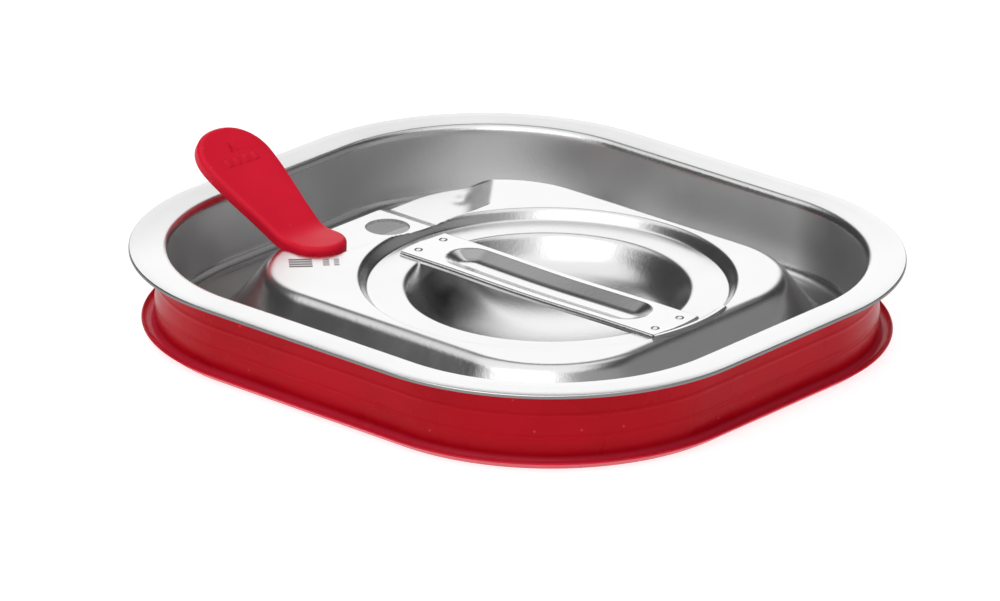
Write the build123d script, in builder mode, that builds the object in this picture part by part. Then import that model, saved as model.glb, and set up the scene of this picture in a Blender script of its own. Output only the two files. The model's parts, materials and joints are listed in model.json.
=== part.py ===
"""Airtight lid for a gastronorm GN 1/6 food pan.

A pressed stainless-steel lid with a strip handle welded across its finger dish, a red silicone seal that hangs
under the flange, and a red silicone pull tab on a button stem beside the vent hole.

Frame: millimetres, +Z up, origin at the centre of the base plane, on which the lip of the seal stands.
+X runs along the lid's long side, and the pull tab is on the -X side.
"""

import os
from math import asin, cos, degrees, radians, sin, sqrt, tan

from build123d import *

# ---- driving dimensions -------------------------------------------------------------------------------------------

# Flange and pan. GN 1/6 is 176 x 162.
LENGTH, WIDTH = 176.0, 162.0
CORNER_R = 57.5
SHEET = 0.8  # steel sheet
FLANGE_TOP = 21.0
WALL_INSET = 10.0  # from the flange's edge to the inner face of the wall, at the top
WALL_DRAFT = 3.0  # degrees
BEND_R = 2.2  # between the flange and the wall, on the upper face
FLOOR_TOP = 2.0  # the trough's floor
FLOOR_R = 3.0  # between the floor and what rises from it

# Raised plateau. Its outline is where the plane of the top would meet the plane of the slope.
PLATEAU_TOP = 16.1
PLATEAU_X = 2.5  # centre
PLATEAU_LENGTH, PLATEAU_WIDTH = 111.0, 101.0
PLATEAU_CORNER_R = 27.0
SLOPE_TAPER = 38.0  # degrees from the vertical
PLATEAU_EDGE_R = 4.8

# Ring recess and finger dish, round an axis at RING_X. The angles are those of the slopes from the horizontal.
RING_X = 10.1
DISH_RIM_R = 36.6
DISH_CROWN_R, DISH_CROWN_ANGLE = 92.0, 17.0
DISH_KNUCKLE_R, DISH_WALL_ANGLE = 12.0, 45.0
SHELF_EDGE_R = 2.5  # rounding between the dish and the shelf
SHELF_DROP = 2.5  # below the plateau
SHELF_OUTER_R = 44.2  # foot of the ring's outer slope
RING_ANGLE = 50.0
RING_FOOT_R, RING_BROW_R = 0.9, 1.4

# Recess for the pull tab, along the plateau's -X edge: a pad, then a deeper finger well.
PAD_DROP, WELL_DROP = 1.6, 3.6
WELL_START_Y, WELL_END_Y = 10.4, 38.5
RECESS_SIDE_END = (-34.6, 22.0)  # its long side runs from the rounding at the tab's root to here
WELL_CORNER_R = 15.0
RECESS_PAST_EDGE_X = -80.0  # well outside the plateau

# Vent hole and pull tab
VENT_HOLE_X, VENT_HOLE_Y, VENT_HOLE_R = -44.5, 1.5, 5.65
TAB_X, TAB_Y = -46.7, -22.0  # axis of the button stem, which the tab turns about
TAB_ROOT_R = 7.3
TAB_CLEARANCE = 0.5  # round the root, in its recess
TAB_LIFT = 0.05  # running gap under the root
TAB_THICK = 3.3
TAB_BEND_X = -49.1  # where the tongue starts to rise
TAB_BEND_R = 9.7  # on its upper face
TAB_RISE = 31.0  # degrees
TAB_TURN = -3.5  # degrees about the stem, from straight out along -X
TAB_STRAIGHT = 23.7
TAB_FLARE_X = -53.0  # from here the tongue widens towards its tip
TAB_TIP_R = 10.9
STEM_R, STEM_HOLE_R = 2.5, 2.8
BUTTON_R, BUTTON_THICK, BUTTON_GAP = 4.2, 1.6, 0.3
HINGE_X = -51.5  # where the tongue flexes, half way through its thickness
HINGE_GAP = 0.45

# Handle strip
STRIP_WIDTH, STRIP_END_R = 18.0, 42.0
STRIP_THICK = 0.8
STRIP_LIP_DEPTH, STRIP_LIP_HALF_LENGTH = 1.9, 30.5
GROOVE_LENGTH, GROOVE_WIDTH, GROOVE_DEPTH = 63.0, 13.0, 1.0
WELD_R, WELD_HEIGHT, WELD_GAP = 1.1, 0.15, 0.05
WELD_RING_R, WELD_SPACING = 38.9, 9.2

# Silicone seal
SEAL_GAP = 0.3  # to the steel wall
SEAL_BAND_INSET = 6.45  # from the flange's edge to the band's outer face
SEAL_FIN_INSET = 3.0
SEAL_FIN_THICK, SEAL_FIN_TIP_UP = 1.1, 1.5
SEAL_FIN_SLOPE = 65.0  # degrees from the vertical
SEAL_LIP_INSET = 14.0  # inner edge of the lip under the pan
SEAL_RIB_HEIGHTS = (7.6, 13.2)
SEAL_RIB_PROUD, SEAL_RIB_TALL = 0.2, 1.0


def rise_and_run(radius, start, end):
    """How far up and along an arc goes, while its slope turns from start to end degrees."""
    start, end = radians(start), radians(end)
    return radius * abs(cos(start) - cos(end)), radius * abs(sin(end) - sin(start))


# ---- worked out from those ----------------------------------------------------------------------------------------

SHELF_TOP = PLATEAU_TOP - SHELF_DROP
PAD_TOP = PLATEAU_TOP - PAD_DROP
WELL_TOP = PLATEAU_TOP - WELL_DROP
FLANGE_UNDER = FLANGE_TOP - SHEET
FLOOR_UNDER = FLOOR_TOP - SHEET

# The straight parts of the dish's wall and of the ring's slope, which join their arcs.
CROWN_RISE, CROWN_RUN = rise_and_run(DISH_CROWN_R, 0, DISH_CROWN_ANGLE)
KNUCKLE_RISE, KNUCKLE_RUN = rise_and_run(DISH_KNUCKLE_R, DISH_CROWN_ANGLE, DISH_WALL_ANGLE)
EDGE_RISE, EDGE_RUN = rise_and_run(SHELF_EDGE_R, 0, DISH_WALL_ANGLE)
DISH_WALL = (DISH_RIM_R - CROWN_RUN - KNUCKLE_RUN - EDGE_RUN) / cos(radians(DISH_WALL_ANGLE))
DISH_BOTTOM = (
    SHELF_TOP - CROWN_RISE - KNUCKLE_RISE - EDGE_RISE - DISH_WALL * sin(radians(DISH_WALL_ANGLE))
)
FOOT_RISE = rise_and_run(RING_FOOT_R, 0, RING_ANGLE)[0]
BROW_RISE = rise_and_run(RING_BROW_R, 0, RING_ANGLE)[0]
RING_SLOPE = (SHELF_DROP - FOOT_RISE - BROW_RISE) / sin(radians(RING_ANGLE))

BELOW = 5.0  # cutters start this far under the base plane
ABOVE = 6.0  # and end this far over the flange

os.makedirs("parts", exist_ok=True)


def finish(piece, name):
    """Labels a finished piece, writes it, and says what it is."""
    piece.part.label = name
    export_step(piece.part, f"parts/{name}.step")
    print(f"{name}: {len(piece.part.solids())} solid(s), {piece.part.volume:.0f} mm3")


def flange_outline(inset):
    """The lid's outline, moved in by inset, in the sketch being built."""
    return RectangleRounded(LENGTH - 2 * inset, WIDTH - 2 * inset, CORNER_R - inset)


def plateau_outline(inset):
    """The plateau's outline, moved in by inset, in the sketch being built."""
    with Locations((PLATEAU_X, 0)):
        return RectangleRounded(
            PLATEAU_LENGTH - 2 * inset, PLATEAU_WIDTH - 2 * inset, PLATEAU_CORNER_R - inset
        )


def recess_outline(grow, start_y=None):
    """The tab's recess seen from above, grown by grow. With start_y, only the part past that line."""
    end_r = TAB_ROOT_R + TAB_CLEARANCE
    with BuildLine() as outline:
        side = Line((RECESS_PAST_EDGE_X, TAB_Y - end_r), (TAB_X, TAB_Y - end_r))
        turn = JernArc(side @ 1, (1, 0), end_r, 90)
        Polyline(
            turn @ 1,
            RECESS_SIDE_END,
            (RECESS_SIDE_END[0], WELL_END_Y),
            (RECESS_PAST_EDGE_X, WELL_END_Y),
            side @ 0,
        )
    area = make_face(outline.edges())
    corner = area.vertices().group_by(Axis.Y)[-1].sort_by(Axis.X)[-1]
    fillet(corner, WELL_CORNER_R)
    if grow:
        offset(amount=grow, kind=Kind.INTERSECTION)
    if start_y is not None:
        with Locations((0, start_y - grow - WIDTH)):
            Rectangle(2 * LENGTH, 2 * WIDTH, mode=Mode.SUBTRACT)


def ring_section(down):
    """The section, right of the ring's axis, of what the ring recess and its dish take out of the plateau.
    down moves its surface that far down into the metal, at right angles to the surface."""
    start = (0, DISH_BOTTOM - down)
    with BuildLine() as section:
        crown = JernArc(start, (1, 0), DISH_CROWN_R + down, DISH_CROWN_ANGLE)
        knuckle = JernArc(crown @ 1, crown % 1, DISH_KNUCKLE_R + down, DISH_WALL_ANGLE - DISH_CROWN_ANGLE)
        wall = Line(knuckle @ 1, (knuckle @ 1) + (knuckle % 1) * DISH_WALL)
        rim = JernArc(wall @ 1, wall % 1, SHELF_EDGE_R - down, -DISH_WALL_ANGLE)
        shelf = Line(rim @ 1, (SHELF_OUTER_R, SHELF_TOP - down))
        foot = JernArc(shelf @ 1, (1, 0), RING_FOOT_R + down, RING_ANGLE)
        slope = Line(foot @ 1, (foot @ 1) + (foot % 1) * RING_SLOPE)
        brow = JernArc(slope @ 1, slope % 1, RING_BROW_R - down, -RING_ANGLE)
        Polyline(brow @ 1, ((brow @ 1).X, FLANGE_TOP + ABOVE), (0, FLANGE_TOP + ABOVE), start)
    make_face(section.edges())


def recesses(down):
    """Everything that is pressed down into the plateau, as one cutter, with its surfaces moved down into the metal."""
    with BuildPart(mode=Mode.PRIVATE) as cutter:
        with BuildSketch(Plane.XZ.shift_origin((RING_X, 0, 0))):
            ring_section(down)
        revolve(axis=Axis((RING_X, 0, 0), (0, 0, 1)))
        with BuildSketch(Plane.XY.offset(PAD_TOP - down)):
            recess_outline(down)
        extrude(amount=FLANGE_TOP)
        with BuildSketch(Plane.XY.offset(WELL_TOP - down)):
            recess_outline(down, WELL_START_Y)
        extrude(amount=FLANGE_TOP)
    return cutter.part


def hill(down, foot_z):
    """The raised plateau as a solid standing on foot_z, with its surfaces moved down into the metal."""
    top = PLATEAU_TOP - down
    in_by = down / cos(radians(SLOPE_TAPER)) - down * tan(radians(SLOPE_TAPER))
    with BuildPart(mode=Mode.PRIVATE) as block:
        with BuildSketch(Plane.XY.offset(top)):
            plateau_outline(in_by)
        extrude(amount=foot_z - top, taper=-SLOPE_TAPER)
        fillet(block.faces().sort_by(Axis.Z)[-1].edges(), PLATEAU_EDGE_R - down)
    return block.part - recesses(down)


def pan_outside(grow):
    """The flange and the outside of the pan below it, as one solid, grown by grow everywhere but the flange."""
    floor_z = FLOOR_UNDER - grow
    with BuildPart(mode=Mode.PRIVATE) as pan:
        with BuildSketch(Plane.XY.offset(FLANGE_UNDER)):
            flange_outline(0)
        extrude(amount=SHEET)
        with BuildSketch(Plane.XY.offset(FLANGE_UNDER)):
            flange_outline(WALL_INSET - SHEET - grow)
        extrude(amount=floor_z - FLANGE_UNDER, taper=WALL_DRAFT)
        flange_underside = pan.faces().filter_by(Axis.Z).sort_by(Axis.Z)[-2]
        fillet(flange_underside.inner_wires()[0].edges(), BEND_R - SHEET + grow)
        fillet(pan.faces().sort_by(Axis.Z)[0].edges(), FLOOR_R + SHEET + grow)
    return pan.part


# ---- lid shell ----------------------------------------------------------------------------------------------------

with BuildPart(mode=Mode.PRIVATE) as trough:
    with BuildSketch(Plane.XY.offset(FLANGE_TOP)):
        flange_outline(WALL_INSET)
    extrude(amount=FLOOR_TOP - FLANGE_TOP, taper=WALL_DRAFT)
    add(hill(0, FLOOR_TOP), mode=Mode.SUBTRACT)
    fillet(trough.faces().filter_by(Axis.Z).sort_by(Axis.Z)[0].edges(), FLOOR_R)

with BuildPart() as lid_shell:
    add(pan_outside(0))
    add(trough.part, mode=Mode.SUBTRACT)
    add(hill(SHEET, -BELOW), mode=Mode.SUBTRACT)
    fillet(lid_shell.faces().filter_by(Axis.Z).sort_by(Axis.Z)[-1].inner_wires()[0].edges(), BEND_R)
    for x, y, r in ((VENT_HOLE_X, VENT_HOLE_Y, VENT_HOLE_R), (TAB_X, TAB_Y, STEM_HOLE_R)):
        with Locations((x, y, PAD_TOP)):
            Cylinder(r, 3 * SHEET, mode=Mode.SUBTRACT)
finish(lid_shell, "lid_shell")

# ---- handle strip and its spot welds -------------------------------------------------------------------------------

STRIP_TOP = SHELF_TOP + STRIP_THICK
WELD_X = sqrt(WELD_RING_R**2 - (WELD_SPACING / 2) ** 2)
WELDS = [(RING_X + side * WELD_X, end * WELD_SPACING / 2) for side in (-1, 1) for end in (-1, 1)]

with BuildPart() as handle_strip:
    with BuildSketch(Plane.XY.offset(SHELF_TOP)):
        with Locations((RING_X, 0)):
            Circle(STRIP_END_R)
            Rectangle(3 * STRIP_END_R, STRIP_WIDTH, mode=Mode.INTERSECT)
    extrude(amount=STRIP_THICK)
    with BuildSketch(Plane.XY.offset(STRIP_TOP - STRIP_LIP_DEPTH)):
        lip_y = (STRIP_WIDTH - STRIP_THICK) / 2
        with Locations((RING_X, -lip_y), (RING_X, lip_y)):
            Rectangle(2 * STRIP_LIP_HALF_LENGTH, STRIP_THICK)
    extrude(amount=STRIP_LIP_DEPTH)
    with BuildSketch(Plane.XY.offset(STRIP_TOP - GROOVE_DEPTH - STRIP_THICK)):
        with Locations((RING_X, 0)):
            SlotOverall(GROOVE_LENGTH, GROOVE_WIDTH)
    extrude(amount=GROOVE_DEPTH + STRIP_THICK)
    with BuildSketch(Plane.XY.offset(STRIP_TOP)):
        with Locations((RING_X, 0)):
            SlotOverall(GROOVE_LENGTH - 2 * STRIP_THICK, GROOVE_WIDTH - 2 * STRIP_THICK)
    extrude(amount=-GROOVE_DEPTH, mode=Mode.SUBTRACT)
    with Locations([(x, y, STRIP_TOP) for x, y in WELDS]):
        Cylinder(WELD_R + WELD_GAP, 4 * STRIP_THICK, mode=Mode.SUBTRACT)
finish(handle_strip, "handle_strip")

with BuildPart() as handle_spot_welds:
    with BuildSketch(Plane.XY.offset(SHELF_TOP)):
        with Locations(WELDS):
            Circle(WELD_R)
    extrude(amount=STRIP_THICK + WELD_HEIGHT)
finish(handle_spot_welds, "handle_spot_welds")

# ---- silicone seal -------------------------------------------------------------------------------------------------

FIN_TOP = SEAL_FIN_THICK + SEAL_FIN_TIP_UP

with BuildPart(mode=Mode.PRIVATE) as fin_groove:
    with BuildSketch(Plane.XY.offset(FIN_TOP)):
        flange_outline(SEAL_FIN_INSET)
    extrude(amount=-SEAL_FIN_TIP_UP, taper=SEAL_FIN_SLOPE)
    with BuildSketch():
        flange_outline(SEAL_BAND_INSET)
    extrude(amount=FLANGE_UNDER, mode=Mode.SUBTRACT)

with BuildPart() as seal:
    with BuildSketch(Plane.XY.offset(SEAL_FIN_TIP_UP)):
        flange_outline(SEAL_FIN_INSET)
    extrude(amount=-SEAL_FIN_TIP_UP, taper=SEAL_FIN_SLOPE)
    with BuildSketch(Plane.XY.offset(SEAL_FIN_TIP_UP)):
        flange_outline(SEAL_FIN_INSET)
    extrude(amount=SEAL_FIN_THICK)
    with BuildSketch():
        flange_outline(SEAL_BAND_INSET)
    extrude(amount=FLANGE_UNDER)
    add(fin_groove.part, mode=Mode.SUBTRACT)
    for height in SEAL_RIB_HEIGHTS:
        with BuildSketch(Plane.XY.offset(height)):
            flange_outline(SEAL_BAND_INSET - SEAL_RIB_PROUD)
        extrude(amount=SEAL_RIB_TALL)
    add(pan_outside(SEAL_GAP), mode=Mode.SUBTRACT)
    with BuildSketch():
        flange_outline(SEAL_LIP_INSET)
    extrude(amount=FLANGE_UNDER, mode=Mode.SUBTRACT)
finish(seal, "seal")

# ---- pull tab ------------------------------------------------------------------------------------------------------

TAB_UNDER = PAD_TOP + TAB_LIFT
TAB_TOP = TAB_UNDER + TAB_THICK
MIDDLE_R = TAB_BEND_R + TAB_THICK / 2  # of the bend, half way through the silicone
HINGE_TURN = degrees(asin((TAB_BEND_X - HINGE_X) / MIDDLE_R))  # how far round the bend the hinge lies
HINGE_Z = TAB_UNDER + TAB_THICK / 2 + rise_and_run(MIDDLE_R, 0, HINGE_TURN)[0]
TAB_TIP_X = TAB_BEND_X - TAB_BEND_R * sin(radians(TAB_RISE)) - TAB_STRAIGHT * cos(radians(TAB_RISE))
STEM_AXIS = Axis((TAB_X, TAB_Y, 0), (0, 0, 1))

with BuildPart(mode=Mode.PRIVATE) as tab_form:
    with BuildSketch(Plane.XZ.offset(WIDTH / 2)):
        with BuildLine():
            under = Line((TAB_X + 2 * TAB_ROOT_R, TAB_UNDER), (TAB_BEND_X, TAB_UNDER))
            under_bend = JernArc(under @ 1, (-1, 0), TAB_BEND_R + TAB_THICK, -TAB_RISE)
            under_rise = Line(under_bend @ 1, (under_bend @ 1) + (under_bend % 1) * 2 * TAB_STRAIGHT)
            over = Line((TAB_X + 2 * TAB_ROOT_R, TAB_TOP), (TAB_BEND_X, TAB_TOP))
            over_bend = JernArc(over @ 1, (-1, 0), TAB_BEND_R, -TAB_RISE)
            over_rise = Line(over_bend @ 1, (over_bend @ 1) + (over_bend % 1) * 2 * TAB_STRAIGHT)
            Line(under_rise @ 1, over_rise @ 1)
            Line(under @ 0, over @ 0)
        make_face()
    extrude(amount=-WIDTH)
    with BuildSketch():
        with BuildLine():
            Polyline(
                (TAB_X, TAB_Y - TAB_ROOT_R),
                (TAB_FLARE_X, TAB_Y - TAB_ROOT_R),
                (TAB_TIP_X, TAB_Y - TAB_TIP_R),
                (TAB_TIP_X, TAB_Y + TAB_TIP_R),
                (TAB_FLARE_X, TAB_Y + TAB_ROOT_R),
                (TAB_X, TAB_Y + TAB_ROOT_R),
                close=True,
            )
        make_face()
        with Locations((TAB_X, TAB_Y)):
            Circle(TAB_ROOT_R)
        with Locations((TAB_TIP_X, TAB_Y)):
            Ellipse(TAB_TIP_R * cos(radians(TAB_RISE)), TAB_TIP_R)
    extrude(amount=2 * LENGTH, mode=Mode.INTERSECT)

with BuildPart(mode=Mode.PRIVATE) as straight_root:
    add(tab_form.part)
    split(bisect_by=Plane.YZ.offset(HINGE_X), keep=Keep.TOP)
    with Locations((HINGE_X, TAB_Y, HINGE_Z)):
        Cylinder(TAB_THICK / 2 + HINGE_GAP, 4 * TAB_ROOT_R, rotation=(90, 0, 0), mode=Mode.SUBTRACT)
    with BuildSketch(Plane.XY.offset(TAB_UNDER)):
        with Locations((TAB_X, TAB_Y)):
            Circle(STEM_R)
    extrude(amount=PAD_TOP - SHEET - BUTTON_GAP - TAB_UNDER)
    with BuildSketch(Plane.XY.offset(PAD_TOP - SHEET - BUTTON_GAP)):
        with Locations((TAB_X, TAB_Y)):
            Circle(BUTTON_R)
    extrude(amount=-BUTTON_THICK)

with BuildPart(mode=Mode.PRIVATE) as straight_tongue:
    add(tab_form.part)
    split(bisect_by=Plane.YZ.offset(HINGE_X), keep=Keep.BOTTOM)
    with Locations((HINGE_X, TAB_Y, HINGE_Z)):
        Cylinder(TAB_THICK / 2, 2 * TAB_ROOT_R, rotation=(90, 0, 0))

with BuildPart() as tab_root:
    add(straight_root.part.rotate(STEM_AXIS, TAB_TURN))
finish(tab_root, "tab_root")

with BuildPart() as pull_tongue:
    add(straight_tongue.part.rotate(STEM_AXIS, TAB_TURN))
finish(pull_tongue, "pull_tongue")

hinge = Edge.make_line((HINGE_X, TAB_Y, HINGE_Z), (HINGE_X, TAB_Y + 1, HINGE_Z)).rotate(STEM_AXIS, TAB_TURN)
print(f"hinge of the tongue: through {hinge @ 0}, along {hinge % 0}")
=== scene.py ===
"""Looks of the airtight GN 1/6 pan lid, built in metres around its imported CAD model.

The pressed steel skin, the handle strip, the silicone seal and the pull tab are fine meshes that stand for their
CAD nodes. Sizes are in millimetres, as on a drawing, and MM turns them into metres.
"""

import json
import math

import bpy
import numpy as np
from mathutils import Matrix, Vector


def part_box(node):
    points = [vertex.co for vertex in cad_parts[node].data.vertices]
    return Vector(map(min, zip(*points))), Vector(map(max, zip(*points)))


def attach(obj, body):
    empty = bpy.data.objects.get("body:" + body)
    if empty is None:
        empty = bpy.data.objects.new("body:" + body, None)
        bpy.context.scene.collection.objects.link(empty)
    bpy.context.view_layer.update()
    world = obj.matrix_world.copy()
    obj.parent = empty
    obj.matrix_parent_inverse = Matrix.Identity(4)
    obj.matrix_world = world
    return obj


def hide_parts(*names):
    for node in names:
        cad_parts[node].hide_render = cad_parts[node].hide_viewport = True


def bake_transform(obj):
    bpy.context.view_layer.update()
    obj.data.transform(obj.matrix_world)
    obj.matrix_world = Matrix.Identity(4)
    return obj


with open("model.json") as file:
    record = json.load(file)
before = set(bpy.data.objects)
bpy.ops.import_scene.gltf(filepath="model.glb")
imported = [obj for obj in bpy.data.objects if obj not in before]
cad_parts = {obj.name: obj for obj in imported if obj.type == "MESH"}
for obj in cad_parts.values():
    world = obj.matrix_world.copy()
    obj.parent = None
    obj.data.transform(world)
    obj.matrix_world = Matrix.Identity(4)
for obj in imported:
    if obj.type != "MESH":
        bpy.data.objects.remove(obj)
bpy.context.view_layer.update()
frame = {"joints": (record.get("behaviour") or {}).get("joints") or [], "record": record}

MM = 0.001
record = frame["record"]
joints = {joint["name"]: joint for joint in frame["joints"]}
mounts = {mount["name"]: mount for mount in record["mounts"]}


def box_mm(node):
    """A CAD node's lowest and highest corners, in millimetres."""
    low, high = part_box(node)
    return np.array(low) / MM, np.array(high) / MM


# ---- sizes, in millimetres -----------------------------------------------------------------------------------------

SHELL_LOW, SHELL_HIGH = box_mm("lid_shell")
STRIP_LOW, STRIP_HIGH = box_mm("handle_strip")
HALF_LENGTH, HALF_WIDTH, FLANGE_TOP = SHELL_HIGH
CORNER_R = 57.5
SHEET = 0.8
WALL_INSET, WALL_DRAFT = 10.0, math.radians(3)
BEND_R, FLOOR_R = 2.2, 3.0
FLOOR_TOP = SHELL_LOW[2] + SHEET

PLATEAU_TOP = 16.1
PLATEAU_X = 2.5
PLATEAU_HALF_LENGTH, PLATEAU_HALF_WIDTH = 55.5, 50.5
PLATEAU_CORNER_R = 27.0
PLATEAU_EDGE_R = 4.8
SLOPE = math.radians(52)  # of the plateau's sides

RING_X = (STRIP_LOW[0] + STRIP_HIGH[0]) / 2
DISH_RIM_R = 36.6
DISH_CROWN_R, DISH_CROWN_ANGLE = 92.0, math.radians(17)
DISH_KNUCKLE_R, DISH_WALL_ANGLE = 12.0, math.radians(45)
SHELF_EDGE_R = 2.5
SHELF_DROP = 2.5
SHELF_OUTER_R = 44.2
RING_ANGLE = math.radians(50)
RING_FOOT_R = 0.9
RING_MORPH_R = 47.8  # past the ring's brow, where its round lines start to turn into the plateau's outline

PAD_DROP, WELL_DROP = 1.6, 3.6
STEP_START_Y, STEP_END_Y = 8.4, 15.0
WELL_END_Y = 42.5
WELL_END_RUN, WELL_END_TURN, WELL_END_SLOPE = -15.9, math.radians(38.3), math.radians(27)
DIMPLE_AT, DIMPLE_R, DIMPLE_DEPTH = (-45.2, 33.2), 2.3, 0.95
RECESS_SIDE_END = (-33.6, 22.0)
RECESS_WALL, WELL_WALL = 4.5, 1.1  # rise of its walls over their run, by the tab and round the well
WELL_CORNER_R = 15.0
TAB_CLEARANCE = 0.8

VENT_X, VENT_Y = (v / MM for v in mounts["vent_hole"]["pos_m"][:2])
VENT_R = mounts["vent_hole"]["dims"]["r_mm"]
TAB_X, TAB_Y = (v / MM for v in joints["tab_swivel"]["pos_m"][:2])
TAB_ROOT_R = 7.3

# ---- small helpers --------------------------------------------------------------------------------------------------


def smooth_min(a, b, width):
    """The lower of a and b, rounded where they are closer than width."""
    blend = np.maximum(width - np.abs(a - b), 0) / width
    return np.minimum(a, b) - blend * blend * width / 4


def smooth_max(a, b, width):
    return -smooth_min(-a, -b, width)


def smooth_step(low, high, value):
    t = np.clip((value - low) / (high - low), 0, 1)
    return t * t * (3 - 2 * t)


def mesh_object(name, points_mm, faces, smooth_angle=math.radians(40)):
    """A new smooth-shaded mesh object from points in millimetres."""
    mesh = bpy.data.meshes.new(name)
    mesh.from_pydata((np.asarray(points_mm) * MM).tolist(), [], faces)
    mesh.validate()
    mesh.polygons.foreach_set("use_smooth", [True] * len(mesh.polygons))
    mesh.set_sharp_from_angle(angle=smooth_angle)
    piece = bpy.data.objects.new(name, mesh)
    bpy.context.scene.collection.objects.link(piece)
    return piece


def grid_faces(rows, columns, first=0, closed=True, flip=False):
    """Quads between rows of columns points each, numbered from first. closed joins each row's ends."""
    row, column = np.meshgrid(np.arange(rows - 1), np.arange(columns if closed else columns - 1), indexing="ij")
    after = (column + 1) % columns
    a = first + row * columns + column
    b = first + row * columns + after
    c = first + (row + 1) * columns + after
    d = first + (row + 1) * columns + column
    order = (d, c, b, a) if flip else (a, b, c, d)
    return np.stack(order, axis=-1).reshape(-1, 4)


def signed_distance(x, y, corners):
    """Distance of each point to a closed polygon, negative inside."""
    nearest = np.full(x.shape, 1e9)
    inside = np.zeros(x.shape, bool)
    for (ax, ay), (bx, by) in zip(corners, np.roll(corners, -1, axis=0)):
        dx, dy = bx - ax, by - ay
        along = np.clip(((x - ax) * dx + (y - ay) * dy) / (dx * dx + dy * dy), 0, 1)
        nearest = np.minimum(nearest, np.hypot(x - ax - along * dx, y - ay - along * dy))
        if ay != by:
            crosses = (ay > y) != (by > y)
            inside ^= crosses & (x < ax + (y - ay) * dx / dy)
    return np.where(inside, -nearest, nearest)


# ---- stations round a rounded rectangle ---------------------------------------------------------------------------


class Stations:
    """Places round any rounded rectangle: corner centre, how far on to the next one, and the outward normal.
    The counts are for the four corners and the four straight sides that follow them, from the +X +Y corner on."""

    def __init__(self, corner_counts, side_counts):
        corner, share, angle = [], [], []
        for k in range(4):
            turn = np.arange(corner_counts[k]) / corner_counts[k]
            corner += [k] * corner_counts[k]
            share += [0.0] * corner_counts[k]
            angle += list((k + turn) * math.pi / 2)
            step = np.arange(side_counts[k]) / side_counts[k]
            corner += [k] * side_counts[k]
            share += list(step)
            angle += [(k + 1) * math.pi / 2] * side_counts[k]
        self.corner, self.share = np.array(corner), np.array(share)
        self.normal = np.stack((np.cos(angle), np.sin(angle)), axis=1)
        self.count = len(corner)

    def outline(self, half_x, half_y, radius, centre_x, out):
        """Points round the rectangle, moved outwards by out."""
        cx, cy = half_x - radius, half_y - radius
        centres = np.array([(cx, cy), (-cx, cy), (-cx, -cy), (cx, -cy)])
        here, there = centres[self.corner], centres[(self.corner + 1) % 4]
        middle = here + (there - here) * self.share[:, None]
        return middle + (radius + out) * self.normal + (centre_x, 0)


def arc(centre, radius, start, end, count):
    """Points on an arc from start to end, in radians."""
    angles = np.linspace(start, end, count)
    return np.stack((centre[0] + radius * np.cos(angles), centre[1] + radius * np.sin(angles)), axis=1)


# ---- pressed steel skin ---------------------------------------------------------------------------------------------


def flange_profile():
    """The skin from the flange's edge down the wall to the trough's floor, as (inset, z) points."""
    wall_low = WALL_INSET + (FLANGE_TOP - FLOOR_TOP) * math.tan(WALL_DRAFT)
    edge_r = 0.3
    rim = arc((edge_r, FLANGE_TOP - edge_r), edge_r, math.pi, math.pi / 2, 4)
    bend_run = BEND_R * math.tan((math.pi / 2 - WALL_DRAFT) / 2)
    bend_centre = (WALL_INSET - bend_run, FLANGE_TOP - BEND_R)
    bend = arc(bend_centre, BEND_R, math.pi / 2, WALL_DRAFT, 12)
    foot_run = FLOOR_R * math.tan((math.pi / 2 - WALL_DRAFT) / 2)
    foot_centre = (wall_low + foot_run, FLOOR_TOP + FLOOR_R)
    foot = arc(foot_centre, FLOOR_R, math.pi + WALL_DRAFT, 3 * math.pi / 2, 9)
    flat = np.linspace(rim[-1], bend[0], 4)[1:-1]
    wall = np.linspace(bend[-1], foot[0], 6)[1:-1]
    return np.concatenate((rim, flat, bend, wall, foot))


def hill_height(out):
    """Height of the plateau's side where it is out past the plateau's outline, before any recess."""
    top_run = PLATEAU_EDGE_R * math.tan(SLOPE / 2)
    foot_out = (PLATEAU_TOP - FLOOR_TOP) / math.tan(SLOPE)
    foot_run = FLOOR_R * math.tan(SLOPE / 2)
    slope = PLATEAU_TOP - out * math.tan(SLOPE)
    on_brow = np.clip(out + top_run, 0, PLATEAU_EDGE_R * math.sin(SLOPE))
    brow = PLATEAU_TOP - PLATEAU_EDGE_R + np.sqrt(PLATEAU_EDGE_R**2 - on_brow**2)
    on_foot = np.clip(foot_out + foot_run - out, 0, FLOOR_R * math.sin(SLOPE))
    foot = FLOOR_TOP + FLOOR_R - np.sqrt(FLOOR_R**2 - on_foot**2)
    past_brow = out > PLATEAU_EDGE_R * math.sin(SLOPE) - top_run
    before_foot = out < foot_out + foot_run - FLOOR_R * math.sin(SLOPE)
    return np.where(past_brow & before_foot, slope, np.where(past_brow, foot, brow))


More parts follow.
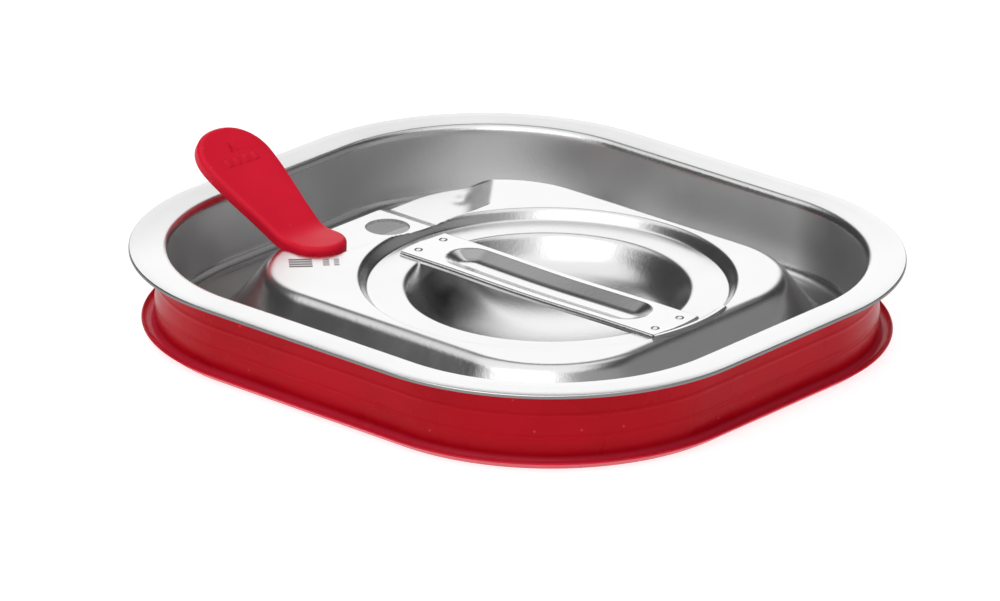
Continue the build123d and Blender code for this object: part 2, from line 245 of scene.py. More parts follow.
def ring_height(radius):
    """Height of the finger dish, the shelf round it and the ring's outer slope, at a distance from their axis."""
    shelf = PLATEAU_TOP - SHELF_DROP
    crown_run = DISH_CROWN_R * math.sin(DISH_CROWN_ANGLE)
    knuckle_run = DISH_KNUCKLE_R * (math.sin(DISH_WALL_ANGLE) - math.sin(DISH_CROWN_ANGLE))
    edge_run = SHELF_EDGE_R * math.sin(DISH_WALL_ANGLE)
    wall_run = DISH_RIM_R - crown_run - knuckle_run - edge_run
    crown_rise = DISH_CROWN_R * (1 - math.cos(DISH_CROWN_ANGLE))
    knuckle_rise = DISH_KNUCKLE_R * (math.cos(DISH_CROWN_ANGLE) - math.cos(DISH_WALL_ANGLE))
    edge_rise = SHELF_EDGE_R * (1 - math.cos(DISH_WALL_ANGLE))
    bottom = shelf - crown_rise - knuckle_rise - edge_rise - wall_run * math.tan(DISH_WALL_ANGLE)
    knuckle_x = crown_run - DISH_KNUCKLE_R * math.sin(DISH_CROWN_ANGLE)
    knuckle_z = bottom + crown_rise + DISH_KNUCKLE_R * math.cos(DISH_CROWN_ANGLE)
    crown = bottom + DISH_CROWN_R - np.sqrt(DISH_CROWN_R**2 - np.minimum(radius, crown_run) ** 2)
    on_knuckle = np.clip(radius - knuckle_x, 0, DISH_KNUCKLE_R * math.sin(DISH_WALL_ANGLE))
    knuckle = knuckle_z - np.sqrt(DISH_KNUCKLE_R**2 - on_knuckle**2)
    wall = shelf - edge_rise + (radius - DISH_RIM_R + edge_run) * math.tan(DISH_WALL_ANGLE)
    on_edge = np.clip(DISH_RIM_R - radius, 0, edge_run)
    edge = shelf - SHELF_EDGE_R + np.sqrt(SHELF_EDGE_R**2 - on_edge**2)
    on_foot = np.clip(radius - SHELF_OUTER_R, 0, RING_FOOT_R * math.sin(RING_ANGLE))
    foot = shelf + RING_FOOT_R - np.sqrt(RING_FOOT_R**2 - on_foot**2)
    foot_run = RING_FOOT_R * math.sin(RING_ANGLE)
    slope = foot + np.maximum(radius - SHELF_OUTER_R - foot_run, 0) * math.tan(RING_ANGLE)
    return np.select(
        [
            radius < crown_run,
            radius < crown_run + knuckle_run,
            radius < DISH_RIM_R - edge_run,
            radius < DISH_RIM_R,
        ],
        [crown, knuckle, wall, edge],
        slope,
    )


def recess_corners():
    """The recess's outline at its brow, as a polygon with round stretches in small steps."""
    end_r = TAB_ROOT_R + TAB_CLEARANCE
    far_x = PLATEAU_X - PLATEAU_HALF_LENGTH - 30
    side_x = RECESS_SIDE_END[0]
    root = arc((TAB_X, TAB_Y), end_r, -math.pi / 2, 0, 16)
    well = arc((side_x - WELL_CORNER_R, WELL_END_Y - WELL_CORNER_R), WELL_CORNER_R, 0, math.pi / 2, 20)
    return np.concatenate(([(far_x, TAB_Y - end_r)], root, [RECESS_SIDE_END], well, [(far_x, WELL_END_Y)]))


def recess_height(x, y):
    """Height of the tab's recess: the pad with the vent hole, the step into the finger well and its sloping end."""
    distance = signed_distance(x, y, recess_corners())
    drop = PAD_DROP + (WELL_DROP - PAD_DROP) * smooth_step(STEP_START_Y, STEP_END_Y, y)
    run = x * math.cos(WELL_END_TURN) + y * math.sin(WELL_END_TURN) - WELL_END_RUN
    end = PLATEAU_TOP - WELL_DROP + run * math.tan(WELL_END_SLOPE)
    away = np.hypot(x - DIMPLE_AT[0], y - DIMPLE_AT[1]) / DIMPLE_R
    dimple = DIMPLE_DEPTH * np.exp(-away * away / 2)
    floor = smooth_max(PLATEAU_TOP - drop - dimple, end, 1.2)
    steepness = RECESS_WALL + (WELL_WALL - RECESS_WALL) * smooth_step(4, 20, y)
    return smooth_max(floor, PLATEAU_TOP + distance * steepness, 0.9)


def pressed_height(x, y, out):
    """Height of everything inside the trough's floor."""
    height = hill_height(out)
    height = smooth_min(height, recess_height(x, y), 0.45)
    return smooth_min(height, ring_height(np.hypot(x - RING_X, y)), 0.8)


def skin_loops(stations):
    """Loops of points over the whole lid from the flange's edge to the middle of the dish."""
    loops = []
    for inset, z in flange_profile():
        ring = stations.outline(HALF_LENGTH, HALF_WIDTH, CORNER_R, 0, -inset)
        loops.append(np.column_stack((ring, np.full(stations.count, z))))
    wall_foot = loops[-1][:, :2]

    def plateau(out):
        return stations.outline(PLATEAU_HALF_LENGTH, PLATEAU_HALF_WIDTH, PLATEAU_CORNER_R, PLATEAU_X, out)

    foot_end = (PLATEAU_TOP - FLOOR_TOP) / math.tan(SLOPE) + FLOOR_R * math.tan(SLOPE / 2)
    for share in (0.25, 0.5, 0.75):
        ring = wall_foot + (plateau(foot_end) - wall_foot) * share
        loops.append(np.column_stack((ring, np.full(stations.count, FLOOR_TOP))))
    brow_in = -PLATEAU_EDGE_R * math.tan(SLOPE / 2)
    outs = np.concatenate(
        (
            np.linspace(foot_end, foot_end - FLOOR_R * math.sin(SLOPE), 8)[:-1],
            np.linspace(foot_end - FLOOR_R * math.sin(SLOPE), 4.5, 5)[:-1],
            np.arange(4.5, brow_in - 0.3, -0.3),
        )
    )
    for out in outs:
        ring = plateau(out)
        z = pressed_height(ring[:, 0], ring[:, 1], np.full(stations.count, out))
        loops.append(np.column_stack((ring, z)))

    inner = plateau(outs[-1])
    direction = inner - (RING_X, 0)
    direction /= np.linalg.norm(direction, axis=1)[:, None]
    circle = (RING_X, 0) + RING_MORPH_R * direction
    flat = np.full(stations.count, brow_in - 1)
    shares = np.concatenate((np.linspace(1, 0.48, 22)[1:-1], np.linspace(0.48, 0, 30)))
    radii = np.concatenate(
        (
            np.arange(RING_MORPH_R - 0.25, SHELF_OUTER_R, -0.25),
            np.linspace(SHELF_OUTER_R, DISH_RIM_R, 7),
            np.linspace(DISH_RIM_R, DISH_RIM_R - SHELF_EDGE_R * math.sin(DISH_WALL_ANGLE), 7)[1:],
            np.linspace(34.4, 23, 14),
            np.linspace(22, 1, 15),
        )
    )
    rings = [circle + (inner - circle) * share for share in shares]
    rings += [(RING_X, 0) + radius * direction for radius in radii]
    for ring in rings:
        loops.append(np.column_stack((ring, pressed_height(ring[:, 0], ring[:, 1], flat))))
    return np.array(loops)


def loop_normals(loops):
    """Unit normals, upwards, of a closed grid of loops."""
    around = np.roll(loops, -1, axis=1) - np.roll(loops, 1, axis=1)
    inward = np.gradient(loops, axis=0)
    normals = np.cross(around, inward)
    return normals / np.linalg.norm(normals, axis=2)[:, :, None]


def cut_hole(loops, faces, first):
    """Snaps the points nearest the vent hole on to its edge and drops the faces inside. Returns the faces that stay
    and the edge's points in order round the hole."""
    flat = loops.reshape(-1, 3)
    offset = flat[:, :2] - (VENT_X, VENT_Y)
    centres = offset[faces - first].mean(axis=1)
    dropped = np.hypot(*centres.T) < VENT_R

    def edges(quads):
        return {frozenset(pair) for quad in quads.tolist() for pair in zip(quad, quad[1:] + quad[:1])}

    near = ~dropped & (np.hypot(*centres.T) < VENT_R + 3)
    beside = {}
    for a, b in (tuple(pair) for pair in edges(faces[dropped]) & edges(faces[near])):
        beside.setdefault(a, []).append(b)
        beside.setdefault(b, []).append(a)
    walk = [min(beside)]
    while len(walk) < len(beside):
        walk.append(next(k for k in beside[walk[-1]] if k not in walk[-2:] and (k != walk[0] or len(walk) > 2)))
    walk = np.array(walk)
    angle = np.unwrap(np.arctan2(offset[walk - first, 1], offset[walk - first, 0]))
    if angle[-1] < angle[0]:
        walk, angle = walk[::-1], angle[::-1]
    angle = np.sort(angle)
    flat[walk - first, 0] = VENT_X + VENT_R * np.cos(angle)
    flat[walk - first, 1] = VENT_Y + VENT_R * np.sin(angle)
    start = np.argmin(np.mod(angle, 2 * math.pi))
    return faces[~dropped], np.roll(walk, -start)


def bridge(upper, upper_angles, lower, lower_angles):
    """Triangles between two closed rings of points that are sorted by angle."""
    faces, i, j = [], 0, 0
    n, m = len(upper), len(lower)
    while i < n or j < m:
        next_upper = upper_angles[(i + 1) % n] + 2 * math.pi * ((i + 1) // n)
        next_lower = lower_angles[(j + 1) % m] + 2 * math.pi * ((j + 1) // m)
        if j == m or (i < n and next_upper <= next_lower):
            faces.append((upper[i % n], upper[(i + 1) % n], lower[j % m]))
            i += 1
        else:
            faces.append((upper[i % n], lower[(j + 1) % m], lower[j % m]))
            j += 1
    return faces


def make_skin():
    stations = Stations((50, 84, 76, 50), (40, 134, 40, 32))
    upper = skin_loops(stations)
    normals = loop_normals(upper)
    normals[0] = (0, 0, 1)
    lower = (upper - SHEET * normals)[::2]
    if len(upper) % 2 == 0:
        lower = np.concatenate((lower, (upper - SHEET * normals)[-1:]))
    lower[0, :, :2] = upper[0, :, :2]
    lower[0, :, 2] = FLANGE_TOP - SHEET
    lower[:, :, 2] = np.minimum(lower[:, :, 2], FLANGE_TOP - SHEET)

    count = stations.count
    upper_faces = grid_faces(len(upper), count)
    first = upper.shape[0] * count
    lower_faces = grid_faces(len(lower), count, first, flip=True)
    upper_faces, upper_edge = cut_hole(upper, upper_faces, 0)
    lower_faces, lower_edge = cut_hole(lower, lower_faces, first)
    points = np.concatenate((upper.reshape(-1, 3), lower.reshape(-1, 3)))

    def angles(edge):
        turned = np.arctan2(points[edge, 1] - VENT_Y, points[edge, 0] - VENT_X)
        return np.mod(turned + 1e-9, 2 * math.pi)

    faces = upper_faces.tolist() + lower_faces.tolist()
    faces += bridge(upper_edge, angles(upper_edge), lower_edge, angles(lower_edge))
    for k in range(count):
        after = (k + 1) % count
        faces.append((after, k, first + k, first + after))
    for start, rows, flip in ((0, len(upper), False), (first, len(lower), True)):
        last = start + (rows - 1) * count
        middle = len(points)
        z = points[last : last + count, 2].mean() - 0.004
        points = np.concatenate((points, [(RING_X, 0, z)]))
        for k in range(count):
            face = (last + k, last + (k + 1) % count, middle)
            faces.append(face[::-1] if flip else face)
    return mesh_object("steel_skin", points, faces)


skin = make_skin()
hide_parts("lid_shell")
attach(skin, "lid")

# ---- handle strip ---------------------------------------------------------------------------------------------------

STRIP_TOP = STRIP_HIGH[2]
STRIP_HALF_WIDTH = STRIP_HIGH[1]
STRIP_END_R = STRIP_HIGH[0] - RING_X
STRIP_EDGE_R = 0.9  # of the turned-down long edges
EDGE_DEPTH = 1.2
SAG_HALF_LENGTH = 30.5
GROOVE_HALF_LENGTH, GROOVE_HALF_WIDTH, GROOVE_DEPTH = 32.0, 6.5, 1.85
GROOVE_LOW = -0.3  # where across the groove it is deepest, as a share of its half width
STRIP_SAG = 0.35  # of its middle, which stands over the dish
CREASE_SHARES, CREASE_DEPTH = (0.62, 0.8, 0.96), 0.03  # fine lines along the groove's near bank


def groove_drop(x, y):
    """How far the strip's top is pressed down at each point: a long round-ended groove with soft banks."""
    along = np.maximum(np.abs(x - RING_X) - (GROOVE_HALF_LENGTH - GROOVE_HALF_WIDTH), 0)
    radial = np.hypot(along, y) / GROOVE_HALF_WIDTH
    lean = np.clip(y / GROOVE_HALF_WIDTH, -1, 1) * np.clip(1 - along / GROOVE_HALF_WIDTH, 0, 1)
    share = smooth_min(np.clip((1 - radial) / (1 + GROOVE_LOW), 0, 3), np.full(x.shape, 1.0), 0.28)
    steep = smooth_min(np.clip((1 - radial) / (1 - abs(GROOVE_LOW)), 0, 3), np.full(x.shape, 1.0), 0.28)
    mix = smooth_step(-1, 1, lean)
    drop = GROOVE_DEPTH * np.maximum(share * mix + steep * (1 - mix), 0)
    near = smooth_step(0.1, -0.3, y / GROOVE_HALF_WIDTH)
    for crease in CREASE_SHARES:
        drop = drop + near * CREASE_DEPTH * np.exp(-(((radial - crease) / 0.025) ** 2))
    return drop


def strip_height(x, y):
    away = np.clip((x - RING_X) / SAG_HALF_LENGTH, -1, 1)
    sag = STRIP_SAG * (1 + np.cos(math.pi * away)) / 2
    return STRIP_TOP - sag - groove_drop(x, y)


def make_strip():
    """The strip as a closed ribbon of cross-sections from one rounded end to the other."""
    flat_half = STRIP_HALF_WIDTH - STRIP_EDGE_R
    top_y = np.linspace(-flat_half, flat_half, 121)
    end_limit = math.sqrt(STRIP_END_R**2 - STRIP_HALF_WIDTH**2)
    xs = RING_X + np.linspace(-end_limit, end_limit, 170)
    rows = []
    for x in xs:
        # The ends are round about the ring's axis, so each section's points slide outwards there.
        near_end = smooth_step(0.82, 1.0, abs(x - RING_X) / end_limit)
        round_x = np.sign(x - RING_X) * (np.sqrt(STRIP_END_R**2 - top_y**2) - end_limit) * near_end
        top_x = x + round_x
        top_z = strip_height(top_x, top_y)
        edge_z = strip_height(np.array([x]), np.array([flat_half]))[0]
        turn = arc((flat_half, edge_z - STRIP_EDGE_R), STRIP_EDGE_R, math.pi / 2, 0, 6)[1:]
        turn[:, 1] = np.maximum(turn[:, 1], edge_z - EDGE_DEPTH + 0.05)
        side = np.concatenate((turn, [(STRIP_HALF_WIDTH, edge_z - EDGE_DEPTH)]))
        inner = np.array(
            [
                (STRIP_HALF_WIDTH - 0.1, edge_z - EDGE_DEPTH),
                (STRIP_HALF_WIDTH - SHEET, edge_z - EDGE_DEPTH),
                (STRIP_HALF_WIDTH - SHEET, edge_z - SHEET - 0.05),
            ]
        )
        right = np.concatenate((side, inner))
        left = right[::-1] * (-1, 1)
        right_x, left_x = np.full(len(right), x), np.full(len(left), x)
        under_y = top_y[::-1][::3]
        under_x = top_x[::-1][::3]
        under_z = top_z[::-1][::3] - SHEET
        rows.append(
            np.concatenate(
                (
                    np.column_stack((top_x, top_y, top_z)),
                    np.column_stack((right_x, right)),
                    np.column_stack((under_x, under_y, under_z)),
                    np.column_stack((left_x, left)),
                )
            )
        )
    rows = np.array(rows)
    faces = grid_faces(len(rows), rows.shape[1], flip=True).tolist()
    count = rows.shape[1]
    last = (len(rows) - 1) * count
    faces.append(tuple(range(count)))
    faces.append(tuple(range(last + count - 1, last - 1, -1)))
    return mesh_object("handle_strip_skin", rows.reshape(-1, 3), faces)


def lathe(profile, centre, steps):
    """Points and quads of a profile of (radius, z) turned about the vertical through centre."""
    angles = np.arange(steps) * 2 * math.pi / steps
    rows = [
        np.column_stack((centre[0] + r * np.cos(angles), centre[1] + r * np.sin(angles), np.full(steps, z)))
        for r, z in profile
    ]
    return np.concatenate(rows), grid_faces(len(profile), steps)


WELD_R, WELD_RISE = 1.1, 0.15
WELD_RING_R, WELD_HALF_SPACING = 38.9, 4.6


def make_welds():
    """The four spot welds: a raised ring round a small pit."""
    points, faces = [], []
    profile = [
        (WELD_R, -0.3),
        (WELD_R, 0.0),
        (1.0, 0.1),
        (0.88, WELD_RISE),
        (0.74, 0.1),
        (0.62, -0.1),
        (0.4, -0.2),
        (0.02, -0.14),
    ]
    weld_x = math.sqrt(WELD_RING_R**2 - WELD_HALF_SPACING**2)
    for side in (-1, 1):
        for end in (-1, 1):
            centre = (RING_X + side * weld_x, end * WELD_HALF_SPACING)
            z = strip_height(np.array([centre[0]]), np.array([centre[1]]))[0]
            turned, quads = lathe([(r, z + h) for r, h in profile], centre, 32)
            faces += (quads + sum(len(p) for p in points)).tolist()
            points.append(turned)
    return mesh_object("spot_weld_marks", np.concatenate(points), faces)


strip = make_strip()
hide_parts("handle_strip")
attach(strip, "lid")
welds = make_welds()
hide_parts("handle_spot_welds")
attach(welds, "lid")

# ---- silicone seal --------------------------------------------------------------------------------------------------

SEAL_HIGH = box_mm("seal")[1]
FIN_INSET = HALF_LENGTH - SEAL_HIGH[0]
BAND_INSET = 6.45
LIP_INSET = 14.0
SEAL_TOP = SEAL_HIGH[2]
FIN_THICK, FIN_TIP_UP = 1.1, 1.5
RIB_HEIGHTS, RIB_PROUD = (7.6, 13.2), 0.16


def seal_profile():
    """The seal's section as a closed ring of (inset, z) points: band, fin, foot, lip under the pan, inner face."""
    band = []
    for z in np.linspace(SEAL_TOP - 0.15, 3.1, 60):
        rib = sum(RIB_PROUD * math.exp(-(((z - height) / 0.45) ** 2)) for height in RIB_HEIGHTS)
        belly = 0.12 * math.sin(math.pi * z / SEAL_TOP)
        band.append((BAND_INSET - rib + 0.12 - belly, z))
    band_foot = arc((BAND_INSET - 1.5, 3.0), 1.6, 0, -math.pi / 2 - 0.75, 12)[1:]
    tip_top = FIN_THICK + FIN_TIP_UP
    fin_top = np.linspace(band_foot[-1], (FIN_INSET + 0.4, tip_top - 0.05), 4)[1:]
    tip = arc((FIN_INSET + 0.35, tip_top - 0.38), 0.35, math.pi / 2, 3 * math.pi / 2, 8)
    foot = [(BAND_INSET - 0.9, 0.06), (BAND_INSET - 0.4, 0.0), (BAND_INSET + 0.5, 0.0), (LIP_INSET - 0.4, 0.0)]
    lip = arc((LIP_INSET - 0.4, 0.4), 0.4, -math.pi / 2, math.pi / 2, 6)
    pan_r = FLOOR_R + SHEET + 0.3
    inner_x = WALL_INSET - SHEET - 0.3
    inner_low = (inner_x + 0.95, pan_r + 1.6)
    corner = arc((inner_low[0] + pan_r, pan_r + 0.9), pan_r, 3 * math.pi / 2, math.pi, 8)
    bend_r = BEND_R - SHEET + 0.3
    bend = arc((inner_x - bend_r, SEAL_TOP - bend_r), bend_r, 0, math.pi / 2 - 0.2, 8)
    top = [(BAND_INSET + 0.18, SEAL_TOP - 0.02)]
    return np.array([*band, *band_foot, *fin_top, *tip, *foot, *lip, *corner, *bend, *top])


def make_seal():
    stations = Stations((96,) * 4, (30, 24, 30, 24))
    profile = seal_profile()
    loops = []
    for inset, z in profile:
        ring = stations.outline(HALF_LENGTH, HALF_WIDTH, CORNER_R, 0, -inset)
        loops.append(np.column_stack((ring, np.full(stations.count, z))))
    loops.append(loops[0])
    loops = np.array(loops)
    rows, count = len(loops) - 1, stations.count
    faces = grid_faces(len(loops), count) % (rows * count)
    return mesh_object("seal_ring", loops[:-1].reshape(-1, 3), faces.tolist(), math.radians(60))


seal = make_seal()
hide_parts("seal")
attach(seal, "seal")

# ---- pull tab -------------------------------------------------------------------------------------------------------

TAB_THICK = 3.3
TAB_BEND_X, TAB_BEND_R, TAB_RISE = -49.1, 9.7, math.radians(31)
TAB_STRAIGHT = 23.7
TAB_TIP_R = 10.9
TAB_FLARE_X = -53.0
TAB_EDGE_R = 1.25
TAB_UNDER = PLATEAU_TOP - PAD_DROP + 0.05
TAB_TURN = math.atan2(-joints["tongue_flex"]["axis"][0], joints["tongue_flex"]["axis"][1])
MIDDLE_R = TAB_BEND_R + TAB_THICK / 2
TIP_S = (TAB_X - TAB_BEND_X) + MIDDLE_R * TAB_RISE + TAB_STRAIGHT
STEM_R, BUTTON_R, BUTTON_THICK, BUTTON_GAP = 2.5, 4.2, 1.6, 0.3


def tab_place(s, t, height):
    """Points of the bent tab: s runs from the stem along its middle line, t across it, height off its middle."""
    flat = TAB_X - TAB_BEND_X
    turn = np.clip((s - flat) / MIDDLE_R, 0, TAB_RISE)
    straight = np.maximum(s - flat - MIDDLE_R * TAB_RISE, 0)
    middle_z = TAB_UNDER + TAB_THICK / 2
    level = np.minimum(s, flat)
    out = height * np.sin(turn) - level - MIDDLE_R * np.sin(turn) - straight * math.cos(TAB_RISE)
    x = TAB_X + out * math.cos(TAB_TURN) - t * math.sin(TAB_TURN)
    y = TAB_Y + out * math.sin(TAB_TURN) + t * math.cos(TAB_TURN)
    z = middle_z + MIDDLE_R * (1 - np.cos(turn)) + straight * math.sin(TAB_RISE)
    return np.stack((x, y, z + height * np.cos(turn)), axis=-1)


def tab_outline():
    """The tab's flat outline as (s, t) points round it, with the nearest point of its spine for each."""
    flare_s = TAB_X - TAB_FLARE_X
    side = []
    for share in np.linspace(0, 1, 46)[1:]:
        s = share * TIP_S
        side.append((s, TAB_ROOT_R + (TAB_TIP_R - TAB_ROOT_R) * float(smooth_step(flare_s - 4, TIP_S + 2, s))))
    side = np.array(side)
    reach = side[-1, 1]
    angles = np.linspace(0, math.pi, 49)[1:-1]
    across = np.sign(np.cos(angles)) * np.abs(np.cos(angles)) ** 0.92
    tip = np.column_stack((TIP_S + reach * np.sin(angles) ** 0.92, reach * across))
    root = arc((0, 0), TAB_ROOT_R, 3 * math.pi / 2, math.pi / 2, 37)
    outline = np.concatenate((side, tip, side[::-1] * (1, -1), root))
    spine = np.column_stack((np.clip(outline[:, 0], 0, TIP_S), np.zeros(len(outline))))
    return outline, spine


def make_tab():
    """The tab as rings that shrink towards its spine, over its rounded top edge and under its flat back."""
    outline, spine = tab_outline()
    reach = np.linalg.norm(outline - spine, axis=1)
    half = TAB_THICK / 2
    edge, low_r = TAB_EDGE_R, 0.5
    lower = arc((low_r, -half + low_r), low_r, 3 * math.pi / 2, math.pi, 5)
    upper = arc((edge, half - edge), edge, math.pi, math.pi / 2, 9)
    rows = []

    def add_row(inset, height):
        ring = outline + (spine - outline) * np.minimum(inset / reach, 1)[:, None]
        rows.append(tab_place(ring[:, 0], ring[:, 1], np.full(len(ring), height)))

    for depth in (1.0, 0.8, 0.55, 0.3):
        inset = low_r + depth * (reach - low_r)
        add_row(inset, -half)
    for inset, height in np.concatenate((lower, upper)):
        add_row(np.full(len(reach), inset), height)
    for depth in (0.08, 0.2, 0.4, 0.6, 0.8, 1.0):
        add_row(edge + depth * (reach - edge), half + 0.12 * depth)
    rows = np.array(rows)
    faces = grid_faces(len(rows), rows.shape[1], flip=True).tolist()
    return mesh_object("pull_tab", rows.reshape(-1, 3), faces, math.radians(70))


tab = make_tab()
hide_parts("pull_tongue", "tab_root")
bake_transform(tab)

MARK_RISE = 0.16
ARROW_S, ARROW_HALF = 36.2, 1.5
BARS_S, BAR_HALF_LENGTH, BAR_HALF_WIDTH, BAR_SPACING = 31.6, 1.15, 0.95, 2.9


def raised_mark(corners):
    """A low block with sloping sides on the tongue's face, from four (s, t) corners. Returns points and quads."""
    corners = np.array(corners)
    middle = corners.mean(axis=0)
    base = TAB_THICK / 2
    points = []
    for grow, height in ((0.14, base), (0.0, base + 0.12 + MARK_RISE * 0.7), (-0.12, base + 0.12 + MARK_RISE)):
        away = corners - middle
        ring = middle + away * (1 + grow / np.linalg.norm(away, axis=1)[:, None])
        points.append(tab_place(ring[:, 0], ring[:, 1], np.full(4, height)))
    faces = grid_faces(3, 4).tolist()
    faces.append([8, 9, 10, 11])
    return np.concatenate(points), faces


def make_tab_marks():
    """A raised arrow that points to the tongue's tip, over a row of plain bars."""
    blocks = []
    for side in (-1, 1):
        tip, foot = (ARROW_S + ARROW_HALF, 0.0), (ARROW_S - ARROW_HALF, side * ARROW_HALF)
        arm = [tip, foot, (foot[0] - 0.1, foot[1] - side * 0.8), (tip[0] - 1.0, -side * 0.05)]
        blocks.append(arm if side > 0 else arm[::-1])
    for k in (-1.5, -0.5, 0.5, 1.5):
        low, high = k * BAR_SPACING - BAR_HALF_WIDTH, k * BAR_SPACING + BAR_HALF_WIDTH
        s_low, s_high = BARS_S - BAR_HALF_LENGTH, BARS_S + BAR_HALF_LENGTH
        blocks.append([(s_low, low), (s_high, low), (s_high, high), (s_low, high)][::-1])
    points, faces = [], []
    for block in blocks:
        new_points, new_faces = raised_mark(block)
        faces += [[v + 12 * len(points) for v in face] for face in new_faces]
        points.append(new_points)
    return mesh_object("tab_marks", np.concatenate(points), faces, math.radians(60))


tab_marks = make_tab_marks()
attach(tab_marks, "tongue")


def make_stem():
    """The button stem through the lid, and the button that holds it there."""
    pad_under = PLATEAU_TOP - PAD_DROP - SHEET
    button_top = pad_under - BUTTON_GAP
    low = button_top - BUTTON_THICK
    profile = [(0.02, low), (2.2, low + 0.02), (3.4, low + 0.12), (3.95, low + 0.42), (BUTTON_R, low + 0.9)]
    profile += [(BUTTON_R - 0.05, button_top - 0.15), (BUTTON_R - 0.25, button_top), (STEM_R + 0.2, button_top)]
    profile += [(STEM_R, button_top + 0.2), (STEM_R, TAB_UNDER + 0.3)]
    points, faces = lathe(profile, (TAB_X, TAB_Y), 48)
    return mesh_object("tab_stem", points, faces.tolist())


stem = make_stem()
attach(stem, "tab_root")

# ---- camera and stage -----------------------------------------------------------------------------------------------


def aim_camera():
    """The camera stands at the front right, a little above the lid, with a long lens."""
    azimuth, elevation, roll = math.radians(41.306), math.radians(21.824), math.radians(0.38)
    target = Vector((-5.53, 0, 5.6)) * MM
    back = Vector(
        (math.sin(azimuth) * math.cos(elevation), -math.cos(azimuth) * math.cos(elevation), math.sin(elevation))
    )
    right = (-back).cross(Vector((0, 0, 1))).normalized()
    up = right.cross(-back)
    across = right * math.cos(roll) + up * math.sin(roll)
    upward = up * math.cos(roll) - right * math.sin(roll)
    data = bpy.data.cameras.new("camera")
    data.lens, data.sensor_width = 297.8, 36
    data.clip_start, data.clip_end = 0.1, 50
    camera = bpy.data.objects.new("camera", data)
    turned = Matrix((across, upward, back)).transposed().to_4x4()
    camera.matrix_world = Matrix.Translation(target + back * 2.0483) @ turned
    bpy.context.scene.collection.objects.link(camera)
    bpy.context.scene.camera = camera


aim_camera()

# ---- materials ------------------------------------------------------------------------------------------------------


class Nodes:
    """A short way to write a node tree. An input is a number, a colour or another node's output."""

    def __init__(self, tree):
        self.tree = tree
        tree.nodes.clear()

    def add(self, kind, inputs=(), **settings):
        node = self.tree.nodes.new(kind)
        for name, value in settings.items():
            setattr(node, name, value)
        for key, value in dict(inputs).items():
            if isinstance(value, bpy.types.NodeSocket):
                self.tree.links.new(value, node.inputs[key])
            else:
                node.inputs[key].default_value = value
        return node

    def math(self, operation, *values):
        return self.add("ShaderNodeMath", dict(enumerate(values)), operation=operation).outputs[0]

    def step(self, value, low, high, start=0.0, end=1.0):
        """start where value is under low, end where it is over high, and smooth between."""
        inputs = {"Value": value, "From Min": low, "From Max": high, "To Min": start, "To Max": end}
        return self.add("ShaderNodeMapRange", inputs, interpolation_type="SMOOTHSTEP").outputs[0]

    def noise(self, vector, scale, detail=3.0, roughness=0.5):
        inputs = {"Vector": vector, "Scale": scale, "Detail": detail, "Roughness": roughness}
        return self.add("ShaderNodeTexNoise", inputs).outputs["Fac"]

    def bump(self, height, distance, strength=1.0, normal=None):
        inputs = {"Height": height, "Distance": distance, "Strength": strength}
        if normal is not None:
            inputs["Normal"] = normal
        return self.add("ShaderNodeBump", inputs).outputs[0]

    def mix(self, share, first, second):
        node = self.add("ShaderNodeMix", {"Factor": share}, data_type="RGBA")
        for key, value in ((6, first), (7, second)):
            if isinstance(value, bpy.types.NodeSocket):
                self.tree.links.new(value, node.inputs[key])
            else:
                node.inputs[key].default_value = value
        return node.outputs[2]

    def finish(self, shader):
        self.add("ShaderNodeOutputMaterial", {"Surface": shader.outputs[0]})


def new_material(name):
    material = bpy.data.materials.new(name)
    material.use_nodes = True
    return material, Nodes(material.node_tree)


def grey(value):
    return (value, value, value, 1)


MARK_CENTRE = (-41.1, -34.2)


def patch(nodes, along, across, centre, half):
    """1 inside a small rectangle of the etched mark, 0 outside. Sizes in millimetres along and across the mark."""
    inside = 1.0
    for value, middle, reach in zip((along, across), centre, half):
        away = nodes.math("ABSOLUTE", nodes.math("SUBTRACT", value, middle * MM))
        inside = nodes.math("MULTIPLY", inside, nodes.step(away, (reach - 0.1) * MM, (reach + 0.1) * MM, 1, 0))
    return inside


def etched_mark(nodes, x, y):
    """Plain etched bars at 45 degrees across the flange's corner: a block of wide ones and two short stacks."""
    mark_x, mark_y = MARK_CENTRE
    turned = math.sqrt(0.5)
    x, y = nodes.math("SUBTRACT", x, mark_x * MM), nodes.math("SUBTRACT", y, mark_y * MM)
    along = nodes.math("MULTIPLY", nodes.math("ADD", x, y), turned)
    across = nodes.math("MULTIPLY", nodes.math("SUBTRACT", y, x), turned)
    bars = []
    for k in (-1.5, -0.5, 0.5, 1.5):
        bars.append(((0, 1.5 * k), (2.9, 0.55)))
        bars.append(((6.3, 1.25 * k + 0.3), (0.8, 0.38)))
        bars.append(((8.9, 1.25 * k + 0.3), (0.65, 0.38)))
    mark = 0.0
    for centre, half in bars:
        mark = nodes.math("MAXIMUM", mark, patch(nodes, along, across, centre, half))
    return mark


